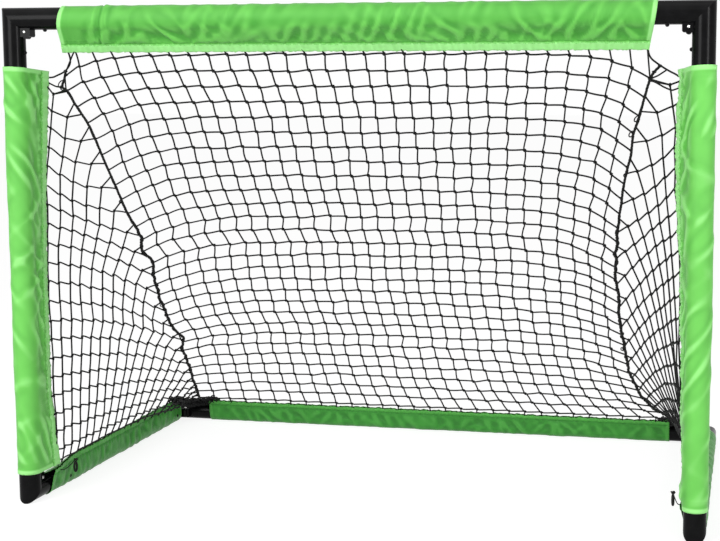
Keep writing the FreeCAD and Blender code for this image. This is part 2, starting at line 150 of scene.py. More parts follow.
def noise(tree, scale, detail, stretch=(1, 1, 1)):
    """Noise in object space, so many features per metre."""
    place = add_node(tree, "ShaderNodeTexCoord")
    mapping = add_node(tree, "ShaderNodeMapping", Scale=stretch)
    texture = add_node(tree, "ShaderNodeTexNoise", Scale=scale, Detail=detail, Roughness=0.55)
    tree.links.new(place.outputs["Object"], mapping.inputs["Vector"])
    tree.links.new(mapping.outputs["Vector"], texture.inputs["Vector"])
    return texture.outputs["Fac"]


def ramped(tree, value, stops):
    """Colours by a value, from stops of (place, colour)."""
    node = add_node(tree, "ShaderNodeValToRGB")
    elements = node.color_ramp.elements
    while len(elements) < len(stops):
        elements.new(0.5)
    for element, (place, colour) in zip(elements, stops):
        element.position = place
        element.color = (*colour, 1)
    tree.links.new(value, node.inputs["Fac"])
    return node.outputs["Color"]


def bumped(tree, shader, height, distance, strength):
    """Fine relief on a shader's surface."""
    bump = add_node(tree, "ShaderNodeBump", Strength=strength, Distance=distance)
    tree.links.new(height, bump.inputs["Height"])
    tree.links.new(bump.outputs["Normal"], shader.inputs["Normal"])


def gloss_black(name, colour=(0.0022, 0.0022, 0.0024), roughness=0.15):
    """Powder-coated steel with a faint orange peel and dusty patches."""
    material, tree, shader = new_material(
        name, colour, roughness, Specular_IOR_Level=0.03, Coat_Weight=0.09, Coat_Roughness=0.27)
    dust = noise(tree, 38.0, 4.0)
    colours = ramped(tree, dust, [(0.35, colour), (0.75, tuple(c * 2.2 for c in colour))])
    tree.links.new(colours, shader.inputs["Base Color"])
    levels = add_node(tree, "ShaderNodeMapRange", To_Min=roughness - 0.04,
                      To_Max=roughness + 0.12)
    tree.links.new(dust, levels.inputs["Value"])
    tree.links.new(levels.outputs["Result"], shader.inputs["Roughness"])
    bumped(tree, shader, noise(tree, 620.0, 2.0), 0.00012, 0.35)
    return material


def bright_steel(name, colour, roughness):
    """Zinc-plated steel with fine scratches."""
    material, tree, shader = new_material(name, colour, roughness, Metallic=1.0)
    wear = noise(tree, 900.0, 4.0, stretch=(1, 1, 6))
    darker = tuple(c * 0.62 for c in colour)
    tree.links.new(ramped(tree, wear, [(0.3, darker), (0.65, colour)]),
                   shader.inputs["Base Color"])
    bumped(tree, shader, wear, 0.00008, 0.5)
    return material


def nylon(name, colour, hem_highlight_colour, crease_shade_colour):
    """Plain-woven nylon: the tone attribute runs from painted shade in creases at 0 over cloth at 0.5
    to painted highlights on hems at 1.
    """
    material, tree, shader = new_material(
        name, colour, 0.43, Specular_IOR_Level=0.26, Sheen_Weight=0.10, Sheen_Roughness=0.35,
        Sheen_Tint=(0.85, 1.0, 0.8, 1))
    tone = add_node(tree, "ShaderNodeAttribute", attribute_name="tone")
    # Base colour by tone: painted shade towards the creases, painted highlight towards the hems
    base = ramped(tree, tone.outputs["Fac"],
                  [(0.0, crease_shade_colour), (0.5, colour), (1.0, hem_highlight_colour)])
    fade = noise(tree, 9.0, 3.0)
    shade = ramped(tree, fade, [(0.3, (0.90, 0.90, 0.90)), (0.7, (1.0, 1.0, 1.0))])
    mix = add_node(tree, "ShaderNodeMix", data_type="RGBA", blend_type="MULTIPLY", Factor=1.0)
    tree.links.new(base, mix.inputs["A"])
    tree.links.new(shade, mix.inputs["B"])
    tree.links.new(mix.outputs["Result"], shader.inputs["Base Color"])
    threads = add_node(tree, "ShaderNodeUVMap", uv_map="cloth")
    heights = []
    for direction in ("X", "Y"):
        wave = add_node(tree, "ShaderNodeTexWave", bands_direction=direction, Scale=300.0,
                        Distortion=0.6)
        tree.links.new(threads.outputs["UV"], wave.inputs["Vector"])
        heights.append(wave.outputs["Fac"])
    weave = add_node(tree, "ShaderNodeMath", operation="ADD")
    tree.links.new(heights[0], weave.inputs[0])
    tree.links.new(heights[1], weave.inputs[1])
    crumple = noise(tree, 70.0, 4.0)
    both = add_node(tree, "ShaderNodeMath", operation="MULTIPLY_ADD")
    both.inputs[1].default_value = 9.0
    tree.links.new(crumple, both.inputs[0])
    tree.links.new(weave.outputs["Value"], both.inputs[2])
    bumped(tree, shader, both.outputs["Value"], 0.00010, 0.8)
    return material


def twine(name, colour, roughness=0.62):
    """Twisted nylon twine with a slight nap."""
    material, tree, shader = new_material(name, colour, roughness, Specular_IOR_Level=0.18)
    nap = noise(tree, 1500.0, 3.0)
    lighter = tuple(c * 2.6 for c in colour)
    tree.links.new(ramped(tree, nap, [(0.35, colour), (0.8, lighter)]),
                   shader.inputs["Base Color"])
    bumped(tree, shader, nap, 0.0003, 0.7)
    return material


PAINT = gloss_black("gloss black paint")
TUBE_PAINT = gloss_black("tube paint", roughness=0.20)
BUTTON_PAINT = gloss_black("button", colour=(0.006, 0.006, 0.0065), roughness=0.12)
ZINC = bright_steel("zinc screw", (0.72, 0.72, 0.70), 0.24)
SPRING = bright_steel("spring steel", (0.42, 0.43, 0.45), 0.3)
# Lime nylon: the cloth's colour, then the hems' painted highlight and the creases' painted shade
GREEN = nylon("lime nylon", (0.150, 0.560, 0.090), (0.405, 0.930, 0.315), (0.062, 0.340, 0.038))
# The low rails' sleeves: a darker copy of the lime nylon as painted shade, with its own hems' painted
# highlight and creases' painted shade
SHADED_BASE_GREEN = nylon("base nylon in painted shade", (0.046, 0.290, 0.036), (0.100, 0.430, 0.074),
                   (0.022, 0.150, 0.020))
TWINE_BLACK = twine("net twine", (0.0012, 0.0012, 0.0013))
CORD_BLACK = twine("lashing cord", (0.0028, 0.0027, 0.0027), 0.55)
THREAD = twine("sewing thread", (0.055, 0.300, 0.035), 0.6)

NODE_MATERIALS = (("corner_", PAINT), (("crossbar", "rear_rail", "post_", "side_rail_"), TUBE_PAINT),
                  ("button_", BUTTON_PAINT), (("lug_screws", "lug_nuts"), ZINC), ("leaf_", SPRING))
for node, piece in frame["nodes"].items():
    for starts, material in NODE_MATERIALS:
        if node.startswith(starts):
            for material_slot in piece.material_slots:
                material_slot.material = material


# Leaf springs: on the goal the leg under a button goes in with it, and the other leg stays on the
# tube's wall; here each leaf is copied as it stands, in place, and the CAD's leaf is hidden

for joint in frame["joints"]:
    for bent in joint["deforming_nodes"]:
        leaf = bent["node"]
        spring = linked(leaf.replace("leaf", "spring"), frame["nodes"][leaf].data.copy())
        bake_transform(spring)
        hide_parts(leaf)


# Mesh building

def new_piece(name, points, faces, material, slot, node=None):
    """Smooth mesh piece that stays where it is when the buttons move."""
    mesh = bpy.data.meshes.new(name)
    mesh.from_pydata(points.tolist(), [], faces)
    mesh.materials.append(material)
    mesh.polygons.foreach_set("use_smooth", [True] * len(mesh.polygons))
    mesh.update()
    piece = linked(name, mesh)
    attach(piece, "root")
    if node:
        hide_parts(node)
    return piece


def crossways(tangents, reference):
    """Two directions square to each tangent."""
    first = units(np.cross(tangents, reference))
    return first, np.cross(tangents, first)


def tubes(paths, radius, sides, closed=False):
    """Points and faces of round strands along many short paths of the same number of points."""
    paths = np.asarray(paths, float)
    count, steps = paths.shape[:2]
    if closed:
        tangents = np.roll(paths, -1, axis=1) - np.roll(paths, 1, axis=1)
    else:
        tangents = np.gradient(paths, axis=1)
    tangents = units(tangents)
    chords = np.abs(tangents).mean(axis=1)
    reference = np.eye(3)[np.argmin(chords, axis=1)][:, None, :]
    first, second = crossways(tangents, np.broadcast_to(reference, tangents.shape))
    angles = np.arange(sides) * 2 * math.pi / sides
    cos, sin = np.cos(angles)[:, None], np.sin(angles)[:, None]
    rings = paths[:, :, None, :] + radius * (cos * first[:, :, None, :]
                                             + sin * second[:, :, None, :])
    points = rings.reshape(-1, 3)
    index = np.arange(count * steps * sides).reshape(count, steps, sides)
    near, far = (index, np.roll(index, -1, axis=1)) if closed else (index[:, :-1], index[:, 1:])
    quads = np.stack([near, far, np.roll(far, -1, axis=2), np.roll(near, -1, axis=2)], axis=-1)
    faces = quads.reshape(-1, 4).tolist()
    if not closed:
        faces += index[:, 0, :].tolist()
        faces += index[:, -1, ::-1].tolist()
    return points, faces


def long_tube(path, radius, sides):
    """Round cord along one long path, with its ring turned as little as possible on the way."""
    tangents = units(np.gradient(path, axis=0))
    normal = unit(np.cross(tangents[0], np.eye(3)[np.argmin(np.abs(tangents[0]))]))
    radii = np.broadcast_to(radius, len(path))
    angles = np.arange(sides) * 2 * math.pi / sides
    rings = []
    for place, tangent, size in zip(path, tangents, radii):
        normal = unit(normal - tangent * (normal @ tangent))
        other = np.cross(tangent, normal)
        rings.append(place + size * (np.outer(np.cos(angles), normal)
                                     + np.outer(np.sin(angles), other)))
    points = np.concatenate(rings)
    index = np.arange(len(points)).reshape(len(path), sides)
    quads = np.stack([index[:-1], np.roll(index[:-1], -1, axis=1),
                      np.roll(index[1:], -1, axis=1), index[1:]], axis=-1).reshape(-1, 4)
    return points, quads.tolist() + [index[0, ::-1].tolist(), index[-1].tolist()]


def joined(parts):
    """One list of points and one of faces from several pairs."""
    points, faces, base = [], [], 0
    for some_points, some_faces in parts:
        points.append(some_points)
        faces += [[base + i for i in face] for face in some_faces]
        base += len(some_points)
    return np.concatenate(points), faces


# Cloth sleeves

CLOTH_THICKNESS = 0.0005
HEM_THICKNESS = 0.0026
CLOTH_CELL = 0.0040
CLOTH_COLUMNS = 76
LOWEST_CLOTH = 0.0007
STITCH_PITCH = 0.0046
STITCH_LENGTH = 0.0032
STITCH_MARGIN = 0.006
STITCH_INSET = 0.003
THREAD_RADIUS = 0.00038

# Wavelengths along a sleeve: rumpled lengths, ruffles at the seams, slow sway, puckers of the hems
PATCH_WAVES = 0.13, 0.21, 0.37
RUFFLE_WAVES = 0.0117, 0.0161, 0.0223, 0.034
SWAY_WAVES = 0.0446, 0.093, 0.21
PUCKER_WAVES = 0.0083, -0.0107, 0.0137
PUCKER_SLANT = 0.011

# Relief of the hems, the ends, the seams' grooves and the seam across the crossbar's sleeve
HEM_RAISE = 0.0011
END_RAISE = 0.0006
GROOVE_DEPTH = 0.0022
GROOVE_WIDTH = 0.0016
CROSS_SEAM_BOW = 0.006
CROSS_SEAM_DEPTH = 0.0035
CROSS_SEAM_WIDTH = 0.0022
CROSS_SEAM_LIP = 0.0018
LEANING_LENGTH = 0.30


def waves(rng, s, wavelengths, across=0.0):
    """Sum of even waves along a sleeve, shifted across it."""
    return sum(np.sin(s * 2 * math.pi / wave + across + rng.uniform(0, 6.28))
               for wave in wavelengths)


def uneven_waves(rng, s, wavelengths):
    """Sum of waves along a sleeve, each of its own strength."""
    return sum(rng.uniform(0.4, 1.0) * np.sin(s * 2 * math.pi / wave + rng.uniform(0, 6.28))
               for wave in wavelengths)


def creases(rng, s, g, wave, lean, stretch, depth, softness):
    """Height of loose cloth: ridges drawn out in one direction, with shallow dents between."""
    run = (s - lean * g) / wave
    across = g / (wave * stretch)
    field = 0
    for _ in range(6):
        ahead, aside, phase = rng.uniform(0.25, 1.1), rng.uniform(-1.0, 1.0), rng.uniform(0, 6.28)
        field = field + np.cos(2 * math.pi * (run * ahead + across * aside) + phase)
    field /= field.std()
    dents = np.sqrt(field * field + softness * softness)
    return depth * (dents.mean() - dents)


def patches(rng, s):
    """Share of the folds' height along a sleeve: some lengths are smooth, some rumpled."""
    return 0.30 + 0.90 * ramp(waves(rng, s, PATCH_WAVES), -1.1, 1.3)


def drop_profile(radius, flap):
    """Section of a drop: points (towards the hem, sideways) from one hem edge round to the other,
    with outward directions, the distance run from the first edge, the girth and the flap's reach."""
    reach = math.sqrt(flap * flap - radius * radius)
    angle = math.acos(radius / flap)
    arc = 2 * (math.pi - angle) * radius
    girth = 2 * reach + arc
    run = np.linspace(0, girth, CLOTH_COLUMNS)
    places = np.zeros((CLOTH_COLUMNS, 2))
    outward = np.zeros((CLOTH_COLUMNS, 2))
    touch = vec(radius * math.cos(angle), radius * math.sin(angle))
    edge = vec(flap, HEM_THICKNESS / 2)
    side = unit(touch)
    for k, r in enumerate(run):
        if r < reach:
            t = r / reach
            places[k] = edge * (1 - t) + touch * t
            outward[k] = side
        elif r > girth - reach:
            t = (girth - r) / reach
            places[k] = (edge * (1 - t) + touch * t) * (1, -1)
            outward[k] = side * (1, -1)
        else:
            turn = angle + (r - reach) / radius
            places[k] = radius * math.cos(turn), radius * math.sin(turn)
            outward[k] = math.cos(turn), math.sin(turn)
    return run, places, outward, girth, reach


def stitches(centres, directions, normal):
    """Short raised stitches."""
    half = directions * STITCH_LENGTH / 2
    steps = []
    for t, lift in ((-1, -0.4), (-0.55, 0.7), (0.55, 0.7), (1, -0.4)):
        steps.append(centres + half * t + normal * THREAD_RADIUS * lift)
    return tubes(np.stack(steps, axis=1), THREAD_RADIUS, 5)


def sleeve(name, node, start, end, flap_direction, radius, flap, material, slot, seed, folds,
           hem=0.030, tightness=0.5, slant=(0.0, 0.0), twist=None, ruffle=0.0016,
           cross_seam=None, calm=0.0, looseness=0.0012, painted_shade=0.0):
    """Cloth tube round a rail, drawn to a stitched hem, with its own creases. Folds are arguments
    of creases. The slants are how far each end leans out at the hem, over its place at the tube."""
    rng = np.random.default_rng(seed)
    along = end - start
    length = np.linalg.norm(along)
    axis = along / length
    sideways = np.cross(axis, flap_direction)
    rows = int(length / CLOTH_CELL)
    run, places, outward, girth, reach = drop_profile(radius + looseness, flap)
    s = np.linspace(0, length, rows)[:, None]
    g = run[None, :]
    from_edge = np.minimum(g, girth - g)
    from_end = np.minimum(s, length - s)

    # Folds, shallow on the tube and near the ends
    height = sum(creases(rng, s, g, *fold) * patches(rng, s) for fold in folds)
    on_cloth = ramp(from_edge, hem * 0.85, hem + 0.016)
    on_flap = 1 - ramp(from_edge, reach * 0.9, reach + 0.020)
    height = height * on_cloth * (tightness + (1 - tightness) * on_flap)
    height = height * (0.2 + 0.8 * ramp(from_end, 0.0, 0.03)) * ramp(s, calm * 0.5, calm + 0.02)
    height = np.maximum(height, -0.0004 - 0.006 * (1 - ramp(from_edge, reach * 0.5, reach)))

    # Tucks beside the seam of the hem, puckers in the hem's band, and the seam's groove
    ripple = uneven_waves(rng, s, RUFFLE_WAVES) / 1.6
    sway = uneven_waves(rng, s, SWAY_WAVES) / 1.4
    band = ramp(hem - from_edge, -0.0010, 0.0014)
    beside = np.exp(-np.maximum(from_edge - hem, 0) / 0.013) * (1 - band)
    tucks = np.clip(ripple, -1.3, 1.3) * beside * ruffle * 1.5
    mottle = waves(rng, s, PUCKER_WAVES, g * 2 * math.pi / PUCKER_SLANT)
    crinkle = (np.roll(ripple, 3, axis=0) * 0.6 + mottle * 0.28) * band * ruffle * 0.8
    near_end = 1 - ramp(from_end, 0.009, 0.0105)
    groove = np.exp(-((from_edge - hem) / GROOVE_WIDTH) ** 2)
    height = height + tucks + crinkle + HEM_RAISE * band + END_RAISE * near_end
    height = height - GROOVE_DEPTH * groove * ramp(from_end, 0.0, 0.004)
    crossing = 0.0
    if cross_seam is not None:
        line = s - cross_seam - CROSS_SEAM_BOW * np.cos((g / girth - 0.5) * 6)
        lip = np.exp(-((line - 0.007) / 0.005) ** 2) * (1 - band)
        crossing = np.exp(-(line / CROSS_SEAM_WIDTH) ** 2) * (1 - band)
        height = height - CROSS_SEAM_DEPTH * crossing + CROSS_SEAM_LIP * lip

    # Places: the hem hangs unevenly, the ends lean and the flap turns
    edge = 1 - ramp(from_edge, 0.0, hem)
    hem_sway = (ripple * 0.0009 + sway * 0.0015) * (1 - ramp(from_edge, 0.0, hem * 1.6))
    hang = np.roll(ripple, 5, axis=0) * ruffle * 0.75 * edge + sway * 0.0010 * edge
    reached = (places[None, :, 0] / flap + 0.28) / 1.28 - 0.5
    lean_start = slant[0] * reached * (1 - ramp(s, 0.0, LEANING_LENGTH))
    lean_end = slant[1] * reached * (1 - ramp(length - s, 0.0, LEANING_LENGTH))
    leaning = s - lean_start + lean_end
    u = places[None, :, 0] + outward[None, :, 0] * height + hang
    w = places[None, :, 1] + outward[None, :, 1] * height + hem_sway
    if twist is not None:
        turn = twist(s)
        u, w = u * np.cos(turn) - w * np.sin(turn), u * np.sin(turn) + w * np.cos(turn)
    points = (start + leaning[:, :, None] * axis + u[:, :, None] * flap_direction
              + w[:, :, None] * sideways)
    points[..., 2] = np.maximum(points[..., 2], LOWEST_CLOTH)
    index = np.arange(rows * CLOTH_COLUMNS).reshape(rows, CLOTH_COLUMNS)
    quads = np.stack([index[:-1, :-1], index[:-1, 1:], index[1:, 1:], index[1:, :-1]],
                     axis=-1).reshape(-1, 4)
    piece = new_piece(name, points.reshape(-1, 3), quads.tolist(), material, slot, node)
    mesh = piece.data

    # Tones, painted light: painted shade in the hollows and painted highlights on the ridges, painted
    # highlights on the hems' bands and the ends, the darkest painted shade in the seams' grooves, and
    # painted shade over the whole sleeve as its argument asks
    hollow = height - sum(np.roll(height, shift, axis) for shift in (-4, 4) for axis in (0, 1)) / 4
    tone = 0.5 - painted_shade + np.clip(hollow / 0.0010, -1, 1) * 0.24 * on_cloth
    tone = tone * (1 - band) + band * (0.93 + 0.07 * np.clip(ripple, -1, 1))
    tone = np.maximum(tone, near_end * 0.85)
    tone = tone - 0.9 * groove * (0.6 + 0.4 * np.clip(ripple, -1, 1)) * ramp(from_end, 0.0, 0.006)
    tone = tone - 0.45 * crossing
    attribute = mesh.attributes.new("tone", "FLOAT", "POINT")
    attribute.data.foreach_set("value", np.clip(tone, 0, 1).ravel())
    uv = mesh.uv_layers.new(name="cloth")
    corners = np.zeros(len(mesh.loops), int)
    mesh.loops.foreach_get("vertex_index", corners)
    flat = np.stack(np.broadcast_arrays(s, g), axis=-1).reshape(-1, 2)
    uv.data.foreach_set("uv", flat[corners].ravel())

    thick = piece.modifiers.new("cloth thickness", "SOLIDIFY")
    thick.thickness = CLOTH_THICKNESS
    thick.offset = -1

    # Stitches along both sides' hems
    stitch = np.arange(STITCH_MARGIN, length - STITCH_MARGIN, STITCH_PITCH)
    rows_at = np.clip((stitch / length * (rows - 1)).astype(int), 1, rows - 2)
    seams = []
    for place in (hem - STITCH_INSET, girth - hem + STITCH_INSET):
        column = int(np.argmin(np.abs(run - place)))
        centres = points[rows_at, column]
        ahead = units(points[rows_at + 1, column] - points[rows_at - 1, column])
        out = outward[column][0] * flap_direction + outward[column][1] * sideways
        seams.append(stitches(centres, ahead, out))
    thread = new_piece(name + "_stitches", *joined(seams), THREAD, slot)


# Folds: wave along the rail, lean, stretch, height and softness of the creases
BAR_FOLDS = ((0.056, -0.45, 2.4, 0.0062, 0.30), (0.100, 0.60, 1.6, 0.0040, 0.20))
POST_FOLDS = {"left": ((0.120, -0.90, 1.1, 0.0066, 0.10), (0.150, 0.60, 1.0, 0.0044, 0.12)),
              "right": ((0.125, 0.80, 1.2, 0.0062, 0.10), (0.150, -0.75, 1.0, 0.0040, 0.12))}
RAIL_FOLDS = ((0.060, 0.15, 2.8, 0.0036, 0.35), (0.050, -0.30, 2.0, 0.0018, 0.4))
REAR_FOLDS = ((0.052, 0.25, 2.6, 0.0036, 0.28), (0.070, -0.55, 1.8, 0.0018, 0.30))

BAR_SLEEVE_END = 0.106
POST_SLEEVE_TOP = 0.112
POST_SLEEVE_FOOT = 0.047
RAIL_SLEEVE_FRONT = 0.056
RAIL_SLEEVE_REAR = 0.047
REAR_SLEEVE_END = 0.104

FRONT_CLOTH = {"radius": FRONT_RADIUS, "flap": FRONT_FLAP, "material": GREEN,
               "slot": "sleeve_cloth"}
BASE_CLOTH = {"radius": BASE_RADIUS, "material": SHADED_BASE_GREEN, "slot": "base_sleeve_cloth",
              "looseness": 0.0004}

bar_end = POST_X - BAR_SLEEVE_END
# The crossbar's sleeve gets painted shade all over, so it is darker than the posts' sleeves
sleeve("crossbar_cloth", "sleeve_crossbar", vec(-bar_end, FRONT_Y, BAR_Z),
       vec(bar_end, FRONT_Y, BAR_Z), SLOPE, seed=11, folds=BAR_FOLDS, tightness=0.22,
       slant=(0.034, -0.022), cross_seam=0.100, calm=0.09, painted_shade=0.24, **FRONT_CLOTH)
rear_end = POST_X - REAR_SLEEVE_END
sleeve("rear_cloth", "sleeve_rear", vec(-rear_end, REAR_Y, BASE_Z), vec(rear_end, REAR_Y, BASE_Z),
       -SLOPE, flap=REAR_FLAP, seed=12, folds=REAR_FOLDS, hem=0.011, ruffle=0.0011, **BASE_CLOTH)

# How far back the posts' flaps turn at some heights, in degrees from the goal line
FLAP_HEIGHTS = (0.07, 0.25, 0.585, 0.795, 0.99)
FLAP_TURNS = {"left": (72, 84, 84, 79, 69), "right": (72, 68, 62, 52, 55)}


def flap_angle(side_name, z):
    """Angle of a post's flap from the goal line at a height."""
    return np.radians(np.interp(z, FLAP_HEIGHTS, FLAP_TURNS[side_name]))


def post_twist(side_name, side):
    """Turn of a post's flap by the distance up its sleeve."""
    return lambda s: -side * (flap_angle(side_name, BASE_Z + POST_SLEEVE_FOOT + s)
                              - POST_FLAP_ANGLE)


def beside_post(side_name, side, z, distance):
    """Point on a post's flap at a height, so far from the post's axis."""
    angle = flap_angle(side_name, z)
    return np.stack(np.broadcast_arrays(side * (POST_X - distance * np.cos(angle)),
                                        FRONT_Y + distance * np.sin(angle), z), axis=-1)


RAIL_HEM_X = 0.734
RAIL_HEM_Z = 0.0552
RAIL_FLAP_RISE = math.radians(28)
RAIL_FLAP_ANGLE = math.radians(66)


def rail_twist(side):
    """Turn of a side rail's flap, which the net draws up, least at the front."""
    return lambda s: side * RAIL_FLAP_RISE * (0.45 + 0.55 * ramp(s, 0.0, 0.12))


def beside_rail(side, y, distance):
    """Point on a side rail's flap, so far from the rail's axis."""
    return vec(side * (POST_X - distance * math.cos(RAIL_FLAP_ANGLE)), y,
               BASE_Z + distance * math.sin(RAIL_FLAP_ANGLE))


for side_name, side in SIDES:
    sleeve("post_cloth_" + side_name, "sleeve_post_" + side_name,
           vec(side * POST_X, FRONT_Y, BASE_Z + POST_SLEEVE_FOOT),
           vec(side * POST_X, FRONT_Y, BAR_Z - POST_SLEEVE_TOP),
           vec(-side * math.cos(POST_FLAP_ANGLE), math.sin(POST_FLAP_ANGLE), 0),
           seed=20 + side, folds=POST_FOLDS[side_name], tightness=0.25, slant=(0.0, -0.009),
           twist=post_twist(side_name, side), **FRONT_CLOTH)
    sleeve("rail_cloth_" + side_name, "sleeve_side_" + side_name,
           vec(side * POST_X, FRONT_Y + RAIL_SLEEVE_FRONT, BASE_Z),
           vec(side * POST_X, REAR_Y - RAIL_SLEEVE_REAR, BASE_Z),
           unit(vec(-side * (POST_X - RAIL_HEM_X), 0, RAIL_HEM_Z - BASE_Z)),
           flap=SIDE_FLAP, seed=30 + side, folds=RAIL_FOLDS, hem=0.013, ruffle=0.0013,
           twist=rail_twist(side), **BASE_CLOTH)


# Net: knots on a smooth surface that the seams draw forward at its sides

TWINE_RADIUS = 0.0020
BACK_COLUMNS = 30
BACK_ROWS = 28


def along_route(points, shares):
    """Places at shares of the length of straight runs through some points."""
    points = np.asarray(points, float)
    run = np.r_[0, np.cumsum(np.linalg.norm(np.diff(points, axis=0), axis=1))]
    at = shares * run[-1]
    return np.stack([np.interp(at, run, points[:, k]) for k in range(3)], axis=-1)


def curve_through(points, count):
    """Evenly spaced places along straight runs through some points."""
    return along_route(points, np.linspace(0, 1, count))


# Seams between back and sides: (x, distance down the slope, distance in front of it)
SEAM_ROUTE = {
    "left": ((-0.686, 0.168, 0.047), (-0.670, 0.208, 0.058), (-0.652, 0.255, 0.068),
             (-0.645, 0.306, 0.076), (-0.640, 0.357, 0.083), (-0.634, 0.407, 0.089),
             (-0.628, 0.497, 0.096), (-0.621, 0.541, 0.098), (-0.612, 0.592, 0.099),
             (-0.626, 0.638, 0.099), (-0.609, 0.680, 0.097), (-0.622, 0.722, 0.095),
             (-0.639, 0.826, 0.087), (-0.644, 0.940, 0.076), (-0.640, 0.986, 0.069),
             (-0.629, 1.007, 0.065), (-0.650, 1.054, 0.059), (-0.659, 1.152, 0.046),
             (-0.674, 1.250, 0.032), (-0.688, 1.330, 0.014)),
    "right": ((0.660, 0.148, 0.033), (0.648, 0.187, 0.048), (0.636, 0.230, 0.061),
              (0.621, 0.273, 0.072), (0.616, 0.322, 0.082), (0.603, 0.370, 0.089),
              (0.595, 0.414, 0.094), (0.588, 0.465, 0.098), (0.581, 0.510, 0.100),
              (0.575, 0.552, 0.100), (0.571, 0.607, 0.099), (0.564, 0.699, 0.096),
              (0.569, 0.752, 0.093), (0.565, 0.862, 0.084), (0.572, 0.992, 0.068),
              (0.576, 1.093, 0.055), (0.603, 1.220, 0.034), (0.634, 1.288, 0.020),
              (0.682, 1.335, 0.010)),
}
# Back net: first and last row down the slope, half its width at the hems, how many columns the
# seams draw forward in upper and lower rows, and the knot above the left seam
NET_ROWS = 0.103, 1.347
NET_HALF = 0.655
SEAM_PULLS = 1.5, 2.9
FIRST_KNOT = (-0.694, 0.146, 0.020)
NET_BELLY = 0.012
BACK_SCATTER = 0.0013


def back_knots(rng):
    """Knots of the back net, by column and row, row 0 under the crossbar. The seams hold the ends
    of the rows lower and further forward."""
    left = np.vstack([FIRST_KNOT, curve_through(SEAM_ROUTE["left"], BACK_ROWS)])
    right = curve_through(SEAM_ROUTE["right"], BACK_ROWS + 1)
    column = np.linspace(0, BACK_COLUMNS, 12 * BACK_COLUMNS + 1)
    places = np.zeros((BACK_COLUMNS + 1, BACK_ROWS + 1, 3))
    for r, ends in enumerate(zip(left, right)):
        share = r / BACK_ROWS
        reach = between(SEAM_PULLS, ramp(share, 0.05, 0.55))
        pulls = np.exp(-column / reach), np.exp(-(BACK_COLUMNS - column) / reach)
        middle = vec(0, between(NET_ROWS, share), NET_BELLY * math.sin(math.pi * share))
        row = np.outer(np.ones(len(column)), middle)
        row += sum(np.outer(pull, end - middle) for pull, end in zip(pulls, ends))
        row[:, 0] = np.interp(column, (0, BACK_COLUMNS), (ends[0][0], ends[1][0]))
        places[:, r] = slope_places(curve_through(row, BACK_COLUMNS + 1))
    places[1:-1, 1:-1] += rng.normal(0, BACK_SCATTER, places[1:-1, 1:-1].shape)
    return places


# Side nets: rows, heights of the first and last on the post, how much the columns crowd towards
# the back of the rail, how far they leave the rail there, how much the upper rows sag, and how
# much the lower ones follow the columns
SIDE_NETS = {"left": (20, (0.975, 0.092), 1.0, 0.030, 1.0, 0.60),
             "right": (18, (0.983, 0.210), 2.2, 0.060, 0.5, 0.75)}
ROW_CROWDING = 0.9
SIDE_SAG = 0.018
SIDE_BELLY = 0.006
SIDE_SCATTER = 0.0011
RAIL_NET = FRONT_Y + RAIL_SLEEVE_FRONT + 0.012, REAR_Y - RAIL_SLEEVE_REAR - 0.010
FEET_REACH = SIDE_FLAP + 0.004
REAR_FEET_DROP = 0.014


def side_knots(rng, side_name, side):
    """Knots of a side net, by column from the post and row from the top, with the rows' ends on the
    post and on the seam, and the columns' ends on the seam and at the rail. Row r has r + 1 knots.
    Upper rows sag, lower ones are drawn up."""
    rows, heights, gather, inwards, sag, drawn = SIDE_NETS[side_name]
    seam = slope_places(SEAM_ROUTE[side_name])
    row = np.arange(rows)
    row_ends, column_tops = (
        along_route(seam, share + ROW_CROWDING * share * share * (1 - share))
        for share in ((row + 0.05) / rows, np.maximum(row - 0.45, 0) / rows))
    on_post = beside_post(side_name, side, between(heights, row / (rows - 1)), FRONT_FLAP)
    back_share = 1 - (1 - (row + 0.3) / rows) ** gather
    feet = np.array([beside_rail(side, y, FEET_REACH) for y in between(RAIL_NET, back_share)])
    feet[:, 0] -= side * inwards * ramp(back_share, 0.40, 1.0)
    feet[:, 2] -= REAR_FEET_DROP * ramp(back_share, 0.60, 1.0)
    places = np.zeros((rows, rows, 3))
    used = np.zeros((rows, rows), bool)
    for r in range(rows):
        share = r / rows
        level = 1 - ramp(share, 0.45, 1.0) * drawn
        lift = SIDE_SAG * (1 - (1 + sag) * (1 - ramp(share, 0.20, 0.45)))
        bow = vec(side * SIDE_BELLY, 0, lift * min(1.0, 2.5 * (1 - share)))
        first = 0.10 + 0.32 * (1 - min(1.0, r / 4))
        for i in range(r + 1):
            used[i, r] = True
            t = (i + first) / (r + 1.1)
            down = (r - i + 0.5) / (rows - i + 0.3)
            across = on_post[r] * (1 - t) + row_ends[r] * t
            hang = column_tops[i] * (1 - down) + feet[i] * down
            places[i, r] = across * level + hang * (1 - level) + bow * math.sin(math.pi * t)
            places[i, r] += rng.normal(0, SIDE_SCATTER, 3)
    return places, used, on_post, row_ends, column_tops, feet


STRAND_STEPS = 9
STRAND_BOW = 0.0009
BEND_SHARE = 0.11
# How far a strand's ends stand apart at a knot, across the strand
BACK_JOG = 0.0021
ROW_JOG = 0.0040
COLUMN_JOG = 0.0006
TIE_JOG = 0.0004
KNOT_SIZE = 0.00105
KNOT_RADIUS = TWINE_RADIUS * 0.95


def strand_paths(rng, starts, ends, normal, jog):
    """Paths of strands: each leaves one knot on one side and reaches the next on the other."""
    gap = ends - starts
    across = np.cross(units(gap), normal)
    t = np.linspace(0, 1, STRAND_STEPS)
    turn = (2 * t - 1) * np.clip(np.minimum(t, 1 - t) / BEND_SHARE, 0, 1)
    bow = rng.normal(0, STRAND_BOW, (len(gap), 1))
    offset = jog * turn + bow * (4 * t * (1 - t))
    return (starts[:, None, :] + gap[:, None, :] * t[:, None]
            + across[:, None, :] * offset[:, :, None])


def knot_template(size):
    """Small overhand knot."""
    t = around(14)
    return size * np.stack([np.sin(t) + 2 * np.sin(2 * t), np.cos(t) - 2 * np.cos(2 * t),
                            -1.2 * np.sin(3 * t)], axis=1)


